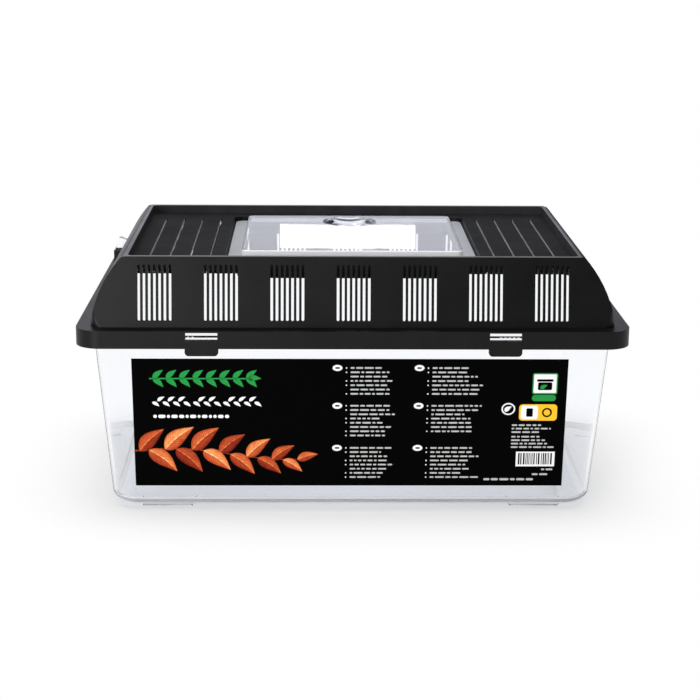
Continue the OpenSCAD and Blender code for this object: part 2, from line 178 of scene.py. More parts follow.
def makeBlackPlastic(name, tune):
    material, tree, shader, place = newMaterial(name)
    skin = skinOn(tree, place, tune["grainSize"], tune["driftSize"])
    tone = stretch(tree, skin.outputs["Tone Drift"], *tune["wornSpan"], 0.0, 1.0)
    tree.links.new(blendColors(tree, tone, tune["color"], tune["worn"]), shader.inputs["Base Color"])
    glossOn(tree, shader, skin, tune["glossSpan"], tune["roughness"])
    shader.inputs["Specular IOR Level"].default_value = tune["specular"]
    bumpOn(tree, shader, skin.outputs["Height"], tune["grainDepth"], tune["grainStrength"])
    return material


clearPlastic = {
    "color": (0.985, 0.992, 1.0, 1),
    "ior": 1.49,
    "roughness": (0.0, 0.02),
    "glossSpan": (0.45, 0.75),
    "rippleDepth": 0.00001,
    "rippleSize": 0.012,
    "rippleStrength": 0.12,
    "driftSize": 0.05,
    "shadow": (0.90, 0.92, 0.94, 1),
    "edgeColor": (0.30, 0.40, 0.62, 1),
    "edgeDensity": 9.0,
}
tankPlastic = clearPlastic | {
    "ior": 1.22,
    "rippleDepth": 0.00002,
    "shadow": (0.94, 0.95, 0.96, 1),
    "edgeDensity": 5.0,
}
bendPaintedLightPlastic = tankPlastic | {  # the bends under the tank's front and rear walls, with a grey diffuse mixed in as painted light to lighten them
    "haze": (0.78, 0.78, 0.82, 1),
    "hazeShare": 0.45,
}
hatchPlastic = clearPlastic | {
    "color": (0.965, 0.970, 1.0, 1),
    "rippleDepth": 0.00003,
    "rippleSize": 0.016,
}
frostedPlastic = clearPlastic | {  # the hatch's brim
    "roughness": (0.45, 0.60),
    "haze": (0.62, 0.64, 0.68, 1),
    "hazeShare": 0.45,
}
hatchFrontPaintedLightPlastic = clearPlastic | {  # the hatch's front wall, with a near-white diffuse mixed in as painted light, so it reads as brightly lit
    "roughness": (0.10, 0.20),
    "haze": (0.97, 0.97, 1.0, 1),
    "hazeShare": 0.94,
}


def makeClearPlastic(name, tune):
    material, tree, shader, place = newMaterial(name)
    skin = skinOn(tree, place, tune["rippleSize"], tune["driftSize"])
    glossOn(tree, shader, skin, tune["glossSpan"], tune["roughness"])
    shader.inputs["Base Color"].default_value = tune["color"]
    shader.inputs["IOR"].default_value = tune["ior"]
    shader.inputs["Transmission Weight"].default_value = 1.0
    bumpOn(tree, shader, skin.outputs["Height"], tune["rippleDepth"], tune["rippleStrength"])
    # light passes straight through on its way to other things, so the plastic throws only a faint shadow
    path = tree.nodes.new("ShaderNodeLightPath")
    passing = sumOf(tree, "MAXIMUM", path.outputs["Is Shadow Ray"], path.outputs["Is Diffuse Ray"])
    through = addNode(tree, "ShaderNodeBsdfTransparent", {"Color": tune["shadow"]})
    surface = shader
    # a diffuse grey mixed into the clear plastic: a frosted finish on the hatch's brim, and painted light on
    # the tank's base bends and the hatch's front wall
    if "haze" in tune:
        frostingAndPaintedLightDiffuse = addNode(tree, "ShaderNodeBsdfDiffuse", {"Color": tune["haze"]})
        surface = addNode(tree, "ShaderNodeMixShader", {
            0: tune["hazeShare"], 1: shader.outputs[0], 2: frostingAndPaintedLightDiffuse.outputs[0]})
    both = addNode(tree, "ShaderNodeMixShader", {0: passing, 1: surface.outputs[0], 2: through.outputs[0]})
    depth = addNode(tree, "ShaderNodeVolumeAbsorption", {
        "Color": tune["edgeColor"], "Density": tune["edgeDensity"]})
    out = next(n for n in tree.nodes if n.type == "OUTPUT_MATERIAL")
    tree.links.new(both.outputs[0], out.inputs["Surface"])
    tree.links.new(depth.outputs[0], out.inputs["Volume"])
    return material


printing = {
    "black": (0.0008, 0.0008, 0.0008, 1),
    "white": (0.82, 0.82, 0.82, 1),
    "grey": (0.46, 0.46, 0.46, 1),
    "green": (0.020, 0.270, 0.055, 1),
    "yellow": (0.880, 0.500, 0.030, 1),
    "backing": (0.72, 0.72, 0.70, 1),
    "thinInk": 0.86,
    "thinSpan": (0.35, 0.65),
    "roughness": (0.30, 0.42),
    "glossSpan": (0.3, 0.7),
    "specular": 0.015,
    "fibreSize": 0.0005,
    "fibreDepth": 0.00001,
    "fibreStrength": 0.3,
    "driftSize": 0.02,
}


def makeInk(name, color, tune):
    material, tree, shader, place = newMaterial(name)
    skin = skinOn(tree, place, tune["fibreSize"], tune["driftSize"])
    thin = tuple(c * tune["thinInk"] for c in color[:3]) + (1,)
    mask = stretch(tree, skin.outputs["Height"], *tune["thinSpan"], 0.0, 1.0)
    tree.links.new(blendColors(tree, mask, color, thin), shader.inputs["Base Color"])
    glossOn(tree, shader, skin, tune["glossSpan"], tune["roughness"])
    shader.inputs["Specular IOR Level"].default_value = tune["specular"]
    bumpOn(tree, shader, skin.outputs["Height"], tune["fibreDepth"], tune["fibreStrength"])
    return material


leafInk = {
    "stops": [
        (0.00, (0.060, 0.006, 0.004, 1)),
        (0.30, (0.240, 0.025, 0.010, 1)),
        (0.55, (0.480, 0.085, 0.025, 1)),
        (0.78, (0.800, 0.290, 0.085, 1)),
        (1.00, (0.900, 0.700, 0.430, 1)),
    ],
    "veins": 6.0,
    "veinSlant": 1.5,
    "veinSpan": (0.40, 0.48),
    "veinTone": 0.75,
    "ribSpan": (0.03, 0.09),
    "lineTone": 0.30,
    "sideSpan": (0.47, 0.53),
    "sideTone": 0.20,
    "bulgeSpan": (0.0, 0.45),
    "bulgeTone": 0.16,
    "rimSpan": (0.55, 1.0),
    "rimTone": -0.16,
    "mottleSpan": (0.3, 0.7),
    "mottleTone": 0.06,
    "mottleSize": 0.0015,
    "driftSize": 0.008,
}


def makeLeafInk(name, tune, sheet):
    # a leaf's own map runs 0 to 1 from stalk to tip and 0 to 1 across, and "tone" is the leaf's own shade
    material, tree, shader, place = newMaterial(name)
    leafMap = addNode(tree, "ShaderNodeUVMap", uv_map="leafMap").outputs[0]
    across = addNode(tree, "ShaderNodeSeparateXYZ", {0: leafMap})
    offRib = sumOf(tree, "ABSOLUTE", sumOf(tree, "MULTIPLY_ADD", across.outputs[1], 2.0, -1.0), 0.0)
    rib = stretch(tree, offRib, *tune["ribSpan"], 1.0, 0.0)
    slanted = sumOf(tree, "MULTIPLY_ADD", offRib, -tune["veinSlant"] / tune["veins"], across.outputs[0])
    turn = sumOf(tree, "FRACT", sumOf(tree, "MULTIPLY", slanted, tune["veins"]), 0.0)
    offMiddle = sumOf(tree, "ABSOLUTE", sumOf(tree, "SUBTRACT", turn, 0.5), 0.0)
    vein = stretch(tree, offMiddle, *tune["veinSpan"], 0.0, tune["veinTone"])
    lines = sumOf(tree, "MULTIPLY", sumOf(tree, "MAXIMUM", rib, vein), tune["lineTone"])
    side = stretch(tree, across.outputs[1], *tune["sideSpan"], 0.0, tune["sideTone"])
    bulge = stretch(tree, offMiddle, *tune["bulgeSpan"], tune["bulgeTone"], 0.0)
    rim = stretch(tree, offRib, *tune["rimSpan"], 0.0, tune["rimTone"])
    skin = skinOn(tree, place, tune["mottleSize"], tune["driftSize"])
    spread = tune["mottleTone"]
    mottle = stretch(tree, skin.outputs["Tone Drift"], *tune["mottleSpan"], -spread, spread)
    total = addNode(tree, "ShaderNodeAttribute", attribute_name="tone").outputs["Fac"]
    for part in (side, bulge, rim, mottle, lines):
        total = sumOf(tree, "ADD", total, part)
    ramp = addNode(tree, "ShaderNodeValToRGB", {0: total})
    for position, _ in tune["stops"][1:-1]:
        ramp.color_ramp.elements.new(position)
    for element, (position, color) in zip(ramp.color_ramp.elements, tune["stops"]):
        element.position, element.color = position, color
    tree.links.new(ramp.outputs[0], shader.inputs["Base Color"])
    glossOn(tree, shader, skin, sheet["glossSpan"], sheet["roughness"])
    shader.inputs["Specular IOR Level"].default_value = sheet["specular"]
    return material


black = makeBlackPlastic("blackPlastic", blackPlastic)
matteBlack = makeBlackPlastic("matteBlack", mattePlastic)
wallPaintedLightBlack = makeBlackPlastic("wallPaintedLightBlack", wallPaintedLightPlastic)
rimBlack = makeBlackPlastic("rimBlack", rimPlastic)
slitPaintedHighlightBlack = makeBlackPlastic("slitPaintedHighlightBlack", slitPaintedHighlightPlastic)
clear = makeClearPlastic("clearPlastic", clearPlastic)
tankClear = makeClearPlastic("tankPlastic", tankPlastic)
bendPaintedLightClear = makeClearPlastic("bendPaintedLightPlastic", bendPaintedLightPlastic)
hatchClear = makeClearPlastic("hatchPlastic", hatchPlastic)
frosted = makeClearPlastic("frostedPlastic", frostedPlastic)
hatchFrontPaintedLight = makeClearPlastic("hatchFrontPaintedLightPlastic", hatchFrontPaintedLightPlastic)
inkBlack = makeInk("inkBlack", printing["black"], printing)
inkWhite = makeInk("inkWhite", printing["white"], printing)
inkGrey = makeInk("inkGrey", printing["grey"], printing)
inkGreen = makeInk("inkGreen", printing["green"], printing)
inkYellow = makeInk("inkYellow", printing["yellow"], printing)
sheetBack = makeInk("sheetBack", printing["backing"], printing)
inkLeaf = makeLeafInk("inkLeaf", leafInk, printing)
print("materials made")


def finishPiece(name, block, materials, body, replaced=(), sharpAngle=32.0):
    bmesh.ops.recalc_face_normals(block, faces=block.faces)
    mesh = bpy.data.meshes.new(name)
    block.to_mesh(mesh)
    block.free()
    for material in materials:
        mesh.materials.append(material)
    if "custom_normal" in mesh.attributes:
        mesh.attributes.remove(mesh.attributes["custom_normal"])
    mesh.shade_smooth()
    mesh.set_sharp_from_angle(angle=math.radians(sharpAngle))
    piece = bpy.data.objects.new(name, mesh)
    bpy.context.scene.collection.objects.link(piece)
    flat = piece.modifiers.new("flatFacesStayFlat", "WEIGHTED_NORMAL")
    flat.keep_sharp = True
    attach(piece, body)
    if replaced:
        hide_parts(*replaced)
    return piece


def carve(base, cutter, operation):
    # base and cutter are bmeshes; gives a new bmesh of the two joined or cut
    parts = []
    for block in (base, cutter):
        mesh = bpy.data.meshes.new("carving")
        block.to_mesh(mesh)
        block.free()
        part = bpy.data.objects.new("carving", mesh)
        bpy.context.scene.collection.objects.link(part)
        parts.append(part)
    tool = parts[0].modifiers.new("cut", "BOOLEAN")
    tool.object, tool.operation, tool.solver = parts[1], operation, "EXACT"
    bpy.context.view_layer.update()
    seen = parts[0].evaluated_get(bpy.context.evaluated_depsgraph_get())
    shaped = bpy.data.meshes.new_from_object(seen)
    result = bmesh.new()
    result.from_mesh(shaped)
    for part in parts:
        bpy.data.objects.remove(part)
    bpy.data.meshes.remove(shaped)
    return result


def edgesWhere(block, test, leastAngle=25.0):
    # edges that turn by more than the least angle and pass the test
    least = math.radians(leastAngle)
    return [e for e in block.edges if e.is_manifold and e.calc_face_angle(0.0) > least and test(e)]


def roundEdges(block, edges, width, segments):
    bmesh.ops.bevel(block, geom=edges, offset=width, offset_type="OFFSET", segments=segments,
                    profile=0.5, affect="EDGES", material=-1, clamp_overlap=True)


def flatAt(edge, height):
    return all(abs(v.co.z - height) < 0.02 * mm for v in edge.verts)


def isUpright(edge):
    return abs(edge.verts[0].co.z - edge.verts[1].co.z) > hair


def taperedBlock(bottom, top, cornerRadius, cornerSegments, baseRadius=0.0, baseSegments=6):
    # a block between two levels, each (half length, half width, height), with rounded uprights and lower edge
    block = bmesh.new()
    bmesh.ops.create_cube(block, size=2.0)
    for v in block.verts:
        halfX, halfY, height = top if v.co.z > 0 else bottom
        v.co = Vector((v.co.x * halfX, v.co.y * halfY, height))
    roundEdges(block, [e for e in block.edges if isUpright(e)], cornerRadius, cornerSegments)
    if baseRadius:
        roundEdges(block, edgesWhere(block, lambda e: flatAt(e, bottom[2])), baseRadius, baseSegments)
    return block


def mergedCopy(node):
    # a copy of a solid's mesh with its loose triangles joined into whole faces
    block = bmesh.new()
    block.from_mesh(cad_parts[node].data)
    bmesh.ops.remove_doubles(block, verts=block.verts, dist=hair)
    bmesh.ops.dissolve_limit(block, angle_limit=math.radians(0.3), use_dissolve_boundaries=False,
                             verts=block.verts, edges=block.edges)
    return block


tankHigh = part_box("tank")[1]
tankShape = {
    "wall": 2.0 * mm,
    "floor": 2.5 * mm,
    "lipEnd": 4.0 * mm,
    "lipFront": 6.5 * mm,
    "lipThickness": 3.0 * mm,
    "lipCornerRadius": 10.5 * mm,
    "lipRounding": 0.7 * mm,
    "mouthRounding": 0.5 * mm,
    "endLean": 7.8 * mm,
    "frontLean": 13.0 * mm,
    "cornerRadius": 16.0 * mm,
    "cornerSegments": 14,
    "baseRadius": 5.0 * mm,
    "baseSegments": 6,
    "footHeight": 3.0 * mm,
    "footSunk": 1.0 * mm,
    "footLength": 28.0 * mm,
    "footWidth": 5.0 * mm,
    "footOuterX": 117.7 * mm,
    "footOuterY": 71.0 * mm,
    "footSlope": 3.6 * mm,
    "footRounding": 0.8 * mm,
}


def makeTank(tune):
    rim = tankHigh.z
    mouthX, mouthY = tankHigh.x - tune["lipEnd"], tankHigh.y - tune["lipFront"]
    under = (mouthX - tune["endLean"], mouthY - tune["frontLean"], tune["footHeight"])
    outside = taperedBlock(under, (mouthX, mouthY, rim), tune["cornerRadius"], tune["cornerSegments"],
                           tune["baseRadius"], tune["baseSegments"])
    lipLow = rim - tune["lipThickness"]
    lip = taperedBlock((tankHigh.x, tankHigh.y, lipLow), (tankHigh.x, tankHigh.y, rim),
                       tune["lipCornerRadius"], tune["cornerSegments"])
    lipEdges = edgesWhere(lip, lambda e: flatAt(e, lipLow) or flatAt(e, rim))
    roundEdges(lip, lipEdges, tune["lipRounding"], 3)
    body = carve(outside, lip, "UNION")
    for side in (-1, 1):
        for end in (-1, 1):
            body = carve(body, makeFoot(tune, side, end), "UNION")

    height = rim - tune["footHeight"]
    leanX, leanY = tune["endLean"] / height, tune["frontLean"] / height

    def insideAt(z):
        return mouthX - tune["wall"] - leanX * (rim - z), mouthY - tune["wall"] - leanY * (rim - z), z

    # the inside: the same walls drawn in, run a little past the rim
    inside = taperedBlock(insideAt(tune["footHeight"] + tune["floor"]), insideAt(rim + 1.0 * mm),
                          tune["cornerRadius"] - tune["wall"], tune["cornerSegments"],
                          tune["baseRadius"] - tune["wall"], tune["baseSegments"])
    body = carve(body, inside, "DIFFERENCE")
    bmesh.ops.remove_doubles(body, verts=body.verts, dist=hair)

    def mouthEdge(e):
        return flatAt(e, rim) and all(abs(v.co.x) < mouthX and abs(v.co.y) < mouthY for v in e.verts)

    roundEdges(body, edgesWhere(body, mouthEdge), tune["mouthRounding"], 3)
    bend = tune["footHeight"] + tune["baseRadius"]
    # the bends under the front and rear walls take the second material, whose grey diffuse is painted light
    for f in body.faces:
        middle = f.calc_center_median()
        frontOrRear = f.normal.y * middle.y > 0 and abs(f.normal.y) > 0.3
        if frontOrRear and f.normal.z < -0.2 and tune["footHeight"] < middle.z < bend:
            f.material_index = 1
    return finishPiece("tankShell", body, [tankClear, bendPaintedLightClear], "tank", ["tank"])


def makeFoot(tune, side, end):
    # a low bar with a sloped inner end, sunk into the base that it is moulded with
    foot = bmesh.new()
    bmesh.ops.create_cube(foot, size=1.0)
    length, width, height = tune["footLength"], tune["footWidth"], tune["footHeight"] + tune["footSunk"]
    bmesh.ops.scale(foot, vec=(length, width, height), verts=foot.verts)
    slope = [v for v in foot.verts if v.co.x < 0 and v.co.z > 0]
    bmesh.ops.translate(foot, vec=(-tune["footSlope"], 0, 0), verts=slope)
    low = [e for e in foot.edges if all(v.co.z < 0 for v in e.verts)]
    ends = [e for e in foot.edges if all(v.co.x > 0 for v in e.verts) and isUpright(e)]
    roundEdges(foot, low + ends, tune["footRounding"], 3)
    bmesh.ops.translate(foot, vec=(-length / 2, -width / 2, height / 2), verts=foot.verts)
    bmesh.ops.translate(foot, vec=(tune["footOuterX"], tune["footOuterY"], 0), verts=foot.verts)
    bmesh.ops.scale(foot, vec=(end, side, 1), verts=foot.verts)
    bmesh.ops.recalc_face_normals(foot, faces=foot.faces)
    return foot


makeTank(tankShape)
print("tank made")


lidShape = {
    "ledgeHeight": 108.5 * mm,
    "ledgeRounding": 0.8 * mm,
    "panelHeight": 141.0 * mm,
    "borderRounding": 0.6 * mm,
    "borderTurn": 0.8,  # only edges that turn by more radians than this
    "endFrom": 124.0 * mm,
    "endRounding": 1.9 * mm,
    "wellHalf": 71.5 * mm,
    "wellRounding": 0.6 * mm,
    "slitsFrom": 72.0 * mm,
    "slitsTo": 118.0 * mm,
    "slitsAbove": 139.0 * mm,
    "slitArea": 100.0 * mm * mm,
}


def makeLid(tune):
    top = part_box("lid")[1].z
    block = mergedCopy("lid")
    ledge, panel = tune["ledgeHeight"], tune["panelHeight"]
    materials = [black, matteBlack, rimBlack, slitPaintedHighlightBlack, wallPaintedLightBlack]

    def outerLedge(e):
        return flatAt(e, ledge) and any(f.calc_center_median().z < ledge - slack for f in e.link_faces)

    def outerEnd(e):
        # the outer edge of the border at the lid's two ends
        first, second = e.verts[0].co.x, e.verts[1].co.x
        return flatAt(e, top) and abs(first - second) < slack and abs(first) > tune["endFrom"]

    def wellRim(e):
        half = tune["wellHalf"]
        return flatAt(e, panel) and all(abs(v.co.x) < half and abs(v.co.y) < half for v in e.verts)

    roundEdges(block, edgesWhere(block, outerEnd), tune["endRounding"], 6)
    border = edgesWhere(block, lambda e: flatAt(e, top) and e.calc_face_angle() > tune["borderTurn"])
    roundEdges(block, border, tune["borderRounding"], 3)
    roundEdges(block, edgesWhere(block, wellRim), tune["wellRounding"], 3)
    roundEdges(block, edgesWhere(block, outerLedge), tune["ledgeRounding"], 4)
    for f in block.faces:
        middle = f.calc_center_median()
        inSlits = tune["slitsFrom"] < abs(middle.x) < tune["slitsTo"] and middle.z > tune["slitsAbove"]
        # the slit walls get the pale grey of the painted highlight
        if inSlits and abs(f.normal.x) > 0.9 and f.calc_area() > tune["slitArea"]:
            f.material_index = materials.index(slitPaintedHighlightBlack)
        elif f.normal.z > 0.9 and middle.z > top - slack:
            f.material_index = materials.index(rimBlack)
        elif f.normal.z > 0.9 and abs(middle.z - panel) < slack:
            f.material_index = materials.index(matteBlack)
        # the walls round the flat get a lighter colour: painted light for the shade of the recess
        elif abs(f.normal.z) < 0.1 and panel < middle.z and middle.dot(f.normal) < 0:
            f.material_index = materials.index(wallPaintedLightBlack)
    return finishPiece("ventedLid", block, materials, "lid", ["lid"])


hatchShape = {
    "windowRounding": 0.5 * mm,
    "scoopRounding": 0.5 * mm,
    "scoopHalf": 20.0 * mm,
    "scoopFrom": 15.0 * mm,
    "scoopTo": 55.0 * mm,
    "brimTop": 138.4 * mm,
    "frontFrom": -52.0 * mm,
}


def makeHatch(tune):
    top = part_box("hatch_door")[1].z
    block = mergedCopy("hatch_door")

    def inScoop(v):
        return abs(v.co.x) < tune["scoopHalf"] and tune["scoopFrom"] < v.co.y < tune["scoopTo"]

    def windowRim(e):
        return flatAt(e, top) and not all(inScoop(v) for v in e.verts)

    def scoopRim(e):
        return flatAt(e, top) and all(inScoop(v) for v in e.verts)

    roundEdges(block, edgesWhere(block, windowRim), tune["windowRounding"], 4)
    roundEdges(block, edgesWhere(block, scoopRim), tune["scoopRounding"], 3)
    materials = [hatchClear, frosted, hatchFrontPaintedLight]
    for f in block.faces:
        middle = f.calc_center_median()
        if f.normal.z > 0.9 and abs(middle.z - tune["brimTop"]) < slack:
            f.material_index = materials.index(frosted)
        # the hatch's front wall gets the near-white diffuse of the painted light
        elif f.normal.y < -0.15 and middle.z > tune["brimTop"] and middle.y < tune["frontFrom"]:
            f.material_index = materials.index(hatchFrontPaintedLight)
    return finishPiece("hatchWindow", block, materials, "hatch", ["hatch_door"])


tabShape = {
    "rounding": 0.12 * mm,
    "leastAngle": 40.0,
    "spread": 0.12 * mm,  # takes up most of the slit at each side, which hardly shows on the real lid
}
clipShape = {
    "rounding": 0.3 * mm,
    "leastAngle": 40.0,
}
pinShape = {
    "rounding": 0.3 * mm,
    "leastAngle": 60.0,
}


def makeSmallPiece(node, body, material, tune):
    words = node.split("_")
    name = words[0] + "".join(w.capitalize() for w in words[1:])
    block = mergedCopy(node)
    roundEdges(block, edgesWhere(block, lambda e: True, tune["leastAngle"]), tune["rounding"], 2)
    if "spread" in tune:
        low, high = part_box(node)
        middle, half = (low.x + high.x) / 2, (high.x - low.x) / 2
        for v in block.verts:
            if abs(v.co.x - middle) > half - tune["rounding"] * 1.1:
                v.co.x += math.copysign(tune["spread"], v.co.x - middle)
    return finishPiece(name, block, [material], body, [node])


def makeSmallPieces():
    for place in ("front_left", "front_right", "rear_left", "rear_right"):
        tab = "snap_tab_" + place
        makeSmallPiece(tab, tab, black, tabShape)
    for side in ("left", "right"):
        clip = "corner_clip_" + side
        makeSmallPiece(clip, clip, clear, clipShape)
        makeSmallPiece("hatch_hinge_pin_" + side, "lid", black, pinShape)
        makeSmallPiece("clip_pin_" + side, "lid", black, pinShape)


makeLid(lidShape)
makeHatch(hatchShape)
makeSmallPieces()
print("lid, hatch, tabs and clips made")


labelLow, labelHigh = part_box("front_label")
labelShape = {
    "thickness": 0.3 * mm,
    "faceShare": 0.9,  # the back face lies deeper than this share of the thickness
    "lean": 0.125,  # the front wall's, as a share of its height
    "ink": 0.04 * mm,
    "sunk": 0.02 * mm,
    "seed": 7,
}


def labelFrame(tune):
    # the label's own axes: along it, up its slope, and out of its face, from its lower left front corner
    rise = labelHigh.z - labelLow.z
    lean = (labelHigh.y - labelLow.y) - tune["thickness"]
    slope = math.atan2(lean, rise)
    along = Vector((1, 0, 0))
    up = Vector((0, -math.sin(slope), math.cos(slope)))
    out = along.cross(up)
    corner = Vector((labelLow.x, labelHigh.y - tune["thickness"], labelLow.z))
    turned = Matrix((along, up, out)).transposed().to_4x4()
    return Matrix.Translation(corner) @ turned, labelHigh.x - labelLow.x, math.hypot(rise, lean)


onLabel, labelLength, labelHeight = labelFrame(labelShape)
ink = {color: bmesh.new() for color in ("white", "grey", "green", "yellow", "black", "leaf")}
ink["leaf"].loops.layers.uv.new("leafMap")
ink["leaf"].verts.layers.float.new("tone")


# every print call takes mm from the label's lower left corner, and a level counts layers of ink

def printBar(color, x, y, length, height, rounding=0.0, level=0):
    block = ink[color]
    verts = bmesh.ops.create_grid(block, x_segments=1, y_segments=1, size=0.5 * mm)["verts"]
    middle = ((x + length / 2) * mm, (y + height / 2) * mm, level * labelShape["ink"])
    bmesh.ops.scale(block, vec=(length, height, 1), verts=verts)
    bmesh.ops.translate(block, vec=middle, verts=verts)
    if rounding:
        bmesh.ops.bevel(block, geom=verts, offset=rounding * mm, offset_type="OFFSET", segments=5,
                        profile=0.5, affect="VERTICES", material=-1)


def printRound(color, x, y, length, height, level=0, segments=24):
    block = ink[color]
    verts = bmesh.ops.create_circle(block, cap_ends=True, radius=0.5 * mm, segments=segments)["verts"]
    bmesh.ops.scale(block, vec=(length, height, 1), verts=verts)
    bmesh.ops.translate(block, vec=(x * mm, y * mm, level * labelShape["ink"]), verts=verts)


leafShape = {
    "widest": 0.75,
    "fullness": 0.9,
    "narrowing": 0.25,
    "bend": 0.06,
}


def printLeaf(color, x, y, length, width, angle, tone=0.5, level=0, fine=(14, 6)):
    # a pointed leaf from its stalk at x, y; its map follows the leaf
    block = ink[color]
    verts = bmesh.ops.create_grid(block, x_segments=fine[0], y_segments=fine[1], size=1.0)["verts"]
    if color == "leaf":
        leafMap, toneLayer = block.loops.layers.uv["leafMap"], block.verts.layers.float["tone"]
        for v in verts:
            v[toneLayer] = tone
            for loop in v.link_loops:
                loop[leafMap].uv = ((v.co.x + 1) / 2, (v.co.y + 1) / 2)
    for v in verts:
        share = (v.co.x + 1) / 2
        outline = math.sin(math.pi * share ** leafShape["widest"]) ** leafShape["fullness"]
        half = width / 2 * outline * (1 - leafShape["narrowing"] * share)
        bend = leafShape["bend"] * length * math.sin(math.pi * share)
        v.co = Vector((share * length * mm, (v.co.y * half + bend) * mm, 0))
    place = Matrix.Translation((x * mm, y * mm, level * labelShape["ink"]))
    turn = Matrix.Rotation(math.radians(angle), 4, "Z")
    bmesh.ops.transform(block, matrix=place @ turn, verts=verts)


def printLines(dice, x, y, widest, lines, pitch, height, color="grey"):
    # rows of plain bars with gaps
    for row in range(lines):
        end = x + widest * dice.uniform(0.6, 1.0)
        at = x
        while at < end - 1.0:
            length = min(dice.uniform(1.4, 5.2), end - at)
            printBar(color, at, y - row * pitch, length, height, height * 0.45)
            at += length + 0.8


def printGarland(x, y, length, leafLength):
    # a row of plain leaves that lean to one side and the other by turns
    step = leafLength * 0.62
    for i in range(int(length / step)):
        side = 1 if i % 2 else -1
        printLeaf("white", x + i * step, y + 0.3 * side, leafLength, leafLength * 0.46, 34 * side)


def printSprig(x, y, length, pairs):
    # a straight stem with pairs of leaves
    printBar("green", x, y - 0.4, length - 5, 0.8)
    for i in range(pairs):
        at = x + 2.0 + i * (length - 10) / (pairs - 1)
        for side in (-1, 1):
            printLeaf("green", at, y, 7.6, 3.4, side * 42)
    printLeaf("green", x + length - 7.5, y, 7.5, 3.6, 0)


twig = {
    "height": 21.0,
    "fall": 0.035,
    "sway": 2.2,
    "swayLength": 17.0,
    "steps": 45,
    "thickness": 1.5,
    "leaves": [  # place along the twig, length, width, angle, tone
        (3, 19, 9.5, 44, 0.20), (8, 20, 10.0, -40, 0.34),
        (17, 21, 10.5, 40, 0.42), (23, 20, 10.0, -44, 0.16),
        (32, 20, 10.0, 42, 0.26), (38, 19, 9.5, -38, 0.44),
        (47, 18, 9.0, 38, 0.14), (53, 18, 9.0, -42, 0.30),
        (62, 17, 8.5, 40, 0.40), (68, 16, 8.0, -36, 0.20),
        (76, 15, 7.5, 34, 0.24), (82, 13, 6.5, -34, 0.38),
        (90, 12, 6.0, 16, 0.30),
    ],
}


def printTwig(tune):
    # a twig of autumn leaves across the lower left
    def route(x):
        return tune["height"] - tune["fall"] * x + tune["sway"] * math.sin(x / tune["swayLength"])

    for step in range(tune["steps"]):
        start, end = step * 2.0, step * 2.0 + 2.1
        angle = math.degrees(math.atan2(route(end) - route(start), end - start))
        thickness = tune["thickness"] - step * 0.02
        printLeaf("leaf", start - 0.3, route(start), 3.2, thickness, angle, 0.05, 1, (4, 2))
    for order, (x, length, width, angle, tone) in enumerate(tune["leaves"]):
        printLeaf("leaf", x, route(x), length, width, angle, tone, 2 + order % 3, (30, 10))


def printPictogram(x, y, size):
    # a green frame with a plain picture of a lidded tank in it, over a green bar
    printBar("green", x, y, size + 1.4, size, 1.0)
    printBar("white", x + 0.7, y + 0.7, size, size - 1.4, 0.5, 1)
    printBar("black", x + 2.4, y + 7.4, size - 3.4, 1.4, 0.3, 2)
    printBar("black", x + 3.0, y + 2.4, size - 4.6, 4.6, 0.8, 2)
    printLeaf("green", x + 4.4, y + 3.2, 4.4, 2.6, 30, level=3)
    printBar("green", x, y - 4.2, size + 0.8, 3.7, 1.7)


def printBadges(x, y):
    # a round badge with a leaf, and a yellow one with a plain block and a ring
    printRound("white", x + 4.0, y + 3.6, 7.6, 7.2)
    printRound("black", x + 4.0, y + 3.6, 6.0, 5.6, 1)
    printLeaf("white", x + 2.0, y + 2.2, 4.8, 2.8, 38, level=2)
    printBar("yellow", x + 10.0, y - 3.4, 21.0, 9.8, 2.0)
    printBar("white", x + 11.0, y - 2.6, 9.4, 8.2, 1.4, 1)
    printBar("black", x + 14.0, y - 1.0, 3.6, 5.0, 0.6, 2)
    printRound("black", x + 25.4, y + 1.5, 5.6, 5.6, 1)
    printRound("yellow", x + 25.4, y + 1.5, 3.6, 3.6, 2)


def printStripes(dice, x, y, length, height):
    # a plain block of stripes
    printBar("white", x, y, length, height)
    at = x + 1.2
    while at < x + length - 1.6:
        width = dice.choice((0.3, 0.45, 0.7, 0.9))
        printBar("black", at, y + 1.2, width, height - 2.0, level=1)
        at += width + dice.choice((0.4, 0.55, 0.8))


columns = {
    "places": ((109.3, (7, 8, 8)), (154.0, (7, 7, 8))),  # where each starts, and the lines of its blocks
    "blockTops": (5.2, 27.6, 53.0),
    "pitch": 2.55,
    "lineWidth": 28,
    "lineHeight": 0.95,
    "noDot": (2, 5),
}


def printColumns(dice, tune, tall):
    # two columns of blocks, each with an oval beside its first line and dots before most lines
    for x, blocks in tune["places"]:
        for lines, top in zip(blocks, tune["blockTops"]):
            y = tall - top
            printRound("white", x + 2.7, y, 5.4, 3.6)
            printBar("black", x + 1.5, y - 0.5, 2.4, 1.0, 0.4, 1)
            for row in range(lines):
                if row not in tune["noDot"]:
                    printRound("white", x + 7.6, y - row * tune["pitch"], 0.8, 0.8, segments=10)
            printLines(dice, x + 9.8, y - 0.45, tune["lineWidth"], lines, tune["pitch"], tune["lineHeight"])


smallPrint = [  # left end, distance from the label's top, width, lines, pitch, height
    (208.5, 39.6, 24.5, 3, 2.1, 0.95),
    (208.5, 46.6, 24.5, 4, 2.1, 0.95),
]
lastPrint = [
    (226.0, 66.6, 6.5, 1, 2.0, 1.1),
    (221.0, 69.6, 11.5, 1, 2.0, 1.1),
    (194.0, 72.8, 38.0, 1, 2.0, 1.3),
]


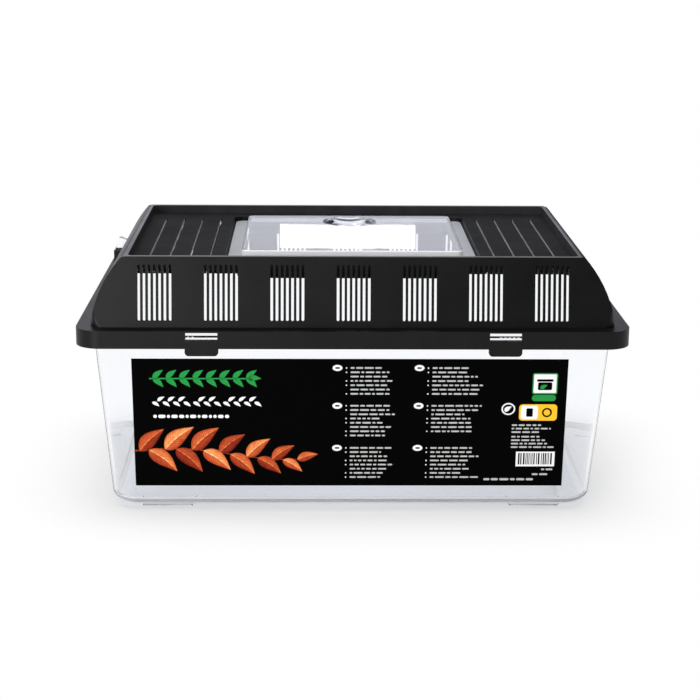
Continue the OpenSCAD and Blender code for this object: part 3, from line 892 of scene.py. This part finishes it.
def printSheet(dice):
    tall = labelHeight / mm
    printSprig(9.4, tall - 11.6, 61, 8)
    at = 10.7
    for length in (21, 15, 22):
        printGarland(at, tall - 25.2, length, 4.6)
        at += length + 1.4
    printLines(dice, 11, tall - 35.0, 57, 1, 3, 1.9, "white")
    printTwig(twig)
    printColumns(dice, columns, tall)
    printPictogram(218.9, tall - 20.5, 12.4)
    printBadges(202.2, tall - 33.0)
    for x, top, *rest in smallPrint:
        printLines(dice, x, tall - top, *rest)
    printStripes(dice, 211.6, tall - 64.2, 21.6, 9.0)
    for x, top, *rest in lastPrint:
        printLines(dice, x, tall - top, *rest)


def makeLabel(tune):
    sheet = bmesh.new()
    bmesh.ops.create_cube(sheet, size=1.0)
    thick = tune["thickness"] * math.cos(math.atan(tune["lean"]))
    bmesh.ops.scale(sheet, vec=(labelLength, labelHeight, thick), verts=sheet.verts)
    bmesh.ops.translate(sheet, vec=(labelLength / 2, labelHeight / 2, -thick / 2), verts=sheet.verts)
    for f in sheet.faces:
        f.material_index = 1 if f.calc_center_median().z < -thick * tune["faceShare"] else 0
    bmesh.ops.transform(sheet, matrix=onLabel, verts=sheet.verts)
    finishPiece("labelSheet", sheet, [inkBlack, sheetBack], "tank", ["front_label"])

    printSheet(random.Random(tune["seed"]))
    prints = {
        "white": ("printWhite", inkWhite),
        "grey": ("printGrey", inkGrey),
        "green": ("printGreen", inkGreen),
        "yellow": ("printYellow", inkYellow),
        "black": ("printBlack", inkBlack),
        "leaf": ("printLeaves", inkLeaf),
    }
    for color, block in ink.items():
        bmesh.ops.remove_doubles(block, verts=block.verts, dist=hair)
        raised = bmesh.ops.extrude_face_region(block, geom=block.faces[:])
        top = [v for v in raised["geom"] if isinstance(v, bmesh.types.BMVert)]
        bmesh.ops.translate(block, vec=(0, 0, tune["ink"]), verts=top)
        bmesh.ops.translate(block, vec=(0, 0, -tune["sunk"]), verts=block.verts)
        bmesh.ops.transform(block, matrix=onLabel, verts=block.verts)
        name, material = prints[color]
        finishPiece(name, block, [material], "tank")


makeLabel(labelShape)
print("label made")


studio = {
    "floorSide": 30.0,
    "floorDrop": 0.05 * mm,
    "floorColor": (0.96, 0.96, 0.97, 1),
    "floorRoughness": 0.9,
    "glowNear": 0.40,
    "glowFar": 1.0,
    "glowReach": 0.08,
    "footprint": (0.13, 0.075, 0.0),
    "worldLight": 0.55,
    "worldFront": 0.08,
    "frontSpan": (-0.6, 0.3),
    "worldRight": 0.25,
    "rightSpan": (0.12, 0.24),
    "mirrorColor": (0.90, 0.91, 1.0, 1),
    "lamps": {  # place, what it points at, size, power
        "keyLamp": ((-0.66, -1.18, 0.32), (0, 0, 0.08), (0.40, 0.56), 12.5),
        "overheadLamp": ((0.0, -0.10, 1.70), (0, -0.10, 0), (1.6, 1.6), 16.0),
        "rearBox": ((0.058, 3.0, 0.7065), (0, 0, 0.144), (0.313, 0.056), 0.066),
    },
}


def makeFloor(tune):
    block = bmesh.new()
    bmesh.ops.create_grid(block, x_segments=1, y_segments=1, size=tune["floorSide"] / 2)
    bmesh.ops.translate(block, vec=(0, 0, -tune["floorDrop"]), verts=block.verts)
    mesh = bpy.data.meshes.new("floor")
    block.to_mesh(mesh)
    block.free()
    floor = bpy.data.objects.new("floor", mesh)
    bpy.context.scene.collection.objects.link(floor)
    material, tree, shader, place = newMaterial("floorCard")
    shader.inputs["Base Color"].default_value = tune["floorColor"]
    shader.inputs["Roughness"].default_value = tune["floorRoughness"]
    shader.inputs["Specular IOR Level"].default_value = 0.0
    glow = addNode(tree, "ShaderNodeEmission", {"Color": (1, 1, 1, 1), "Strength": 1.0})
    # the card glows white where nothing stands near, and less round the base, where the shadow lies
    offset = place
    for operation, other in (("ABSOLUTE", None), ("SUBTRACT", tune["footprint"]), ("MAXIMUM", (0, 0, 0))):
        links = {0: offset} if other is None else {0: offset, 1: other}
        offset = addNode(tree, "ShaderNodeVectorMath", links, operation=operation).outputs[0]
    away = addNode(tree, "ShaderNodeVectorMath", {0: offset}, operation="LENGTH").outputs["Value"]
    share = stretch(tree, away, 0, tune["glowReach"], tune["glowNear"], tune["glowFar"])
    # only for rays that show the surroundings: from the camera, in a reflection or through clear plastic
    path = tree.nodes.new("ShaderNodeLightPath")
    shown = sumOf(tree, "MAXIMUM", path.outputs["Is Camera Ray"], path.outputs["Is Glossy Ray"])
    shown = sumOf(tree, "MAXIMUM", shown, path.outputs["Is Transmission Ray"])
    share = sumOf(tree, "MULTIPLY", shown, share)
    both = addNode(tree, "ShaderNodeMixShader", {0: share, 1: shader.outputs[0], 2: glow.outputs[0]})
    out = next(n for n in tree.nodes if n.type == "OUTPUT_MATERIAL")
    tree.links.new(both.outputs[0], out.inputs["Surface"])
    mesh.materials.append(material)


def makeWorld(tune):
    world = bpy.data.worlds.new("studio")
    world.use_nodes = True
    bpy.context.scene.world = world
    tree = world.node_tree
    sky = next(n for n in tree.nodes if n.type == "BACKGROUND")
    # white to look at or through; in reflections a little violet, and darker in front and at the right
    path = tree.nodes.new("ShaderNodeLightPath")
    cast = blendColors(tree, path.outputs["Is Glossy Ray"], (1, 1, 1, 1), tune["mirrorColor"])
    tree.links.new(cast, sky.inputs["Color"])
    plain = sumOf(tree, "MAXIMUM", path.outputs["Is Camera Ray"], path.outputs["Is Transmission Ray"])
    plain = stretch(tree, plain, 0, 1, tune["worldLight"], 1.0)
    around = tree.nodes.new("ShaderNodeTexCoord").outputs["Generated"]
    toward = addNode(tree, "ShaderNodeSeparateXYZ", {0: around})
    mirrored = stretch(tree, toward.outputs[1], *tune["frontSpan"], tune["worldFront"], 1.0)
    sideways = stretch(tree, toward.outputs[0], *tune["rightSpan"], 1.0, tune["worldRight"])
    mirrored = sumOf(tree, "MULTIPLY", mirrored, sideways)
    change = sumOf(tree, "SUBTRACT", mirrored, plain)
    strength = sumOf(tree, "MULTIPLY_ADD", path.outputs["Is Glossy Ray"], change, plain)
    tree.links.new(strength, sky.inputs["Strength"])


def makeLamps(tune):
    for name, (place, target, size, power) in tune["lamps"].items():
        lamp = bpy.data.lights.new(name, "AREA")
        lamp.shape, lamp.size, lamp.size_y, lamp.energy = "RECTANGLE", size[0], size[1], power
        holder = bpy.data.objects.new(name, lamp)
        holder.location = place
        holder.rotation_euler = (Vector(target) - Vector(place)).to_track_quat("-Z", "Y").to_euler()
        bpy.context.scene.collection.objects.link(holder)


viewpoint = {
    "place": Vector((-21.94, -1015.85, 331.13)) * mm,
    "turned": 0.021701,
    "tilted": 0.248723,
    "rolled": 0.007143,
    "lens": 90.70,
    "sensor": 36.0,
    "sees": (0.01, 100.0),
}


def makeCamera(tune):
    data = bpy.data.cameras.new("camera")
    data.lens, data.sensor_width, data.sensor_fit = tune["lens"], tune["sensor"], "HORIZONTAL"
    data.clip_start, data.clip_end = tune["sees"]
    camera = bpy.data.objects.new("camera", data)
    turn, tilt, roll = tune["turned"], tune["tilted"], tune["rolled"]
    ahead = Vector((math.sin(turn) * math.cos(tilt), math.cos(turn) * math.cos(tilt), -math.sin(tilt)))
    right = Vector((math.cos(turn), -math.sin(turn), 0))
    up = right.cross(ahead)
    rolledRight = right * math.cos(roll) + up * math.sin(roll)
    rolledUp = up * math.cos(roll) - right * math.sin(roll)
    turned = Matrix((rolledRight, rolledUp, -ahead)).transposed().to_4x4()
    camera.matrix_world = Matrix.Translation(tune["place"]) @ turned
    bpy.context.scene.collection.objects.link(camera)
    bpy.context.scene.camera = camera


makeFloor(studio)
makeWorld(studio)
makeLamps(studio)
makeCamera(viewpoint)
bpy.context.scene.view_settings.view_transform = "Standard"
print("studio and camera set")
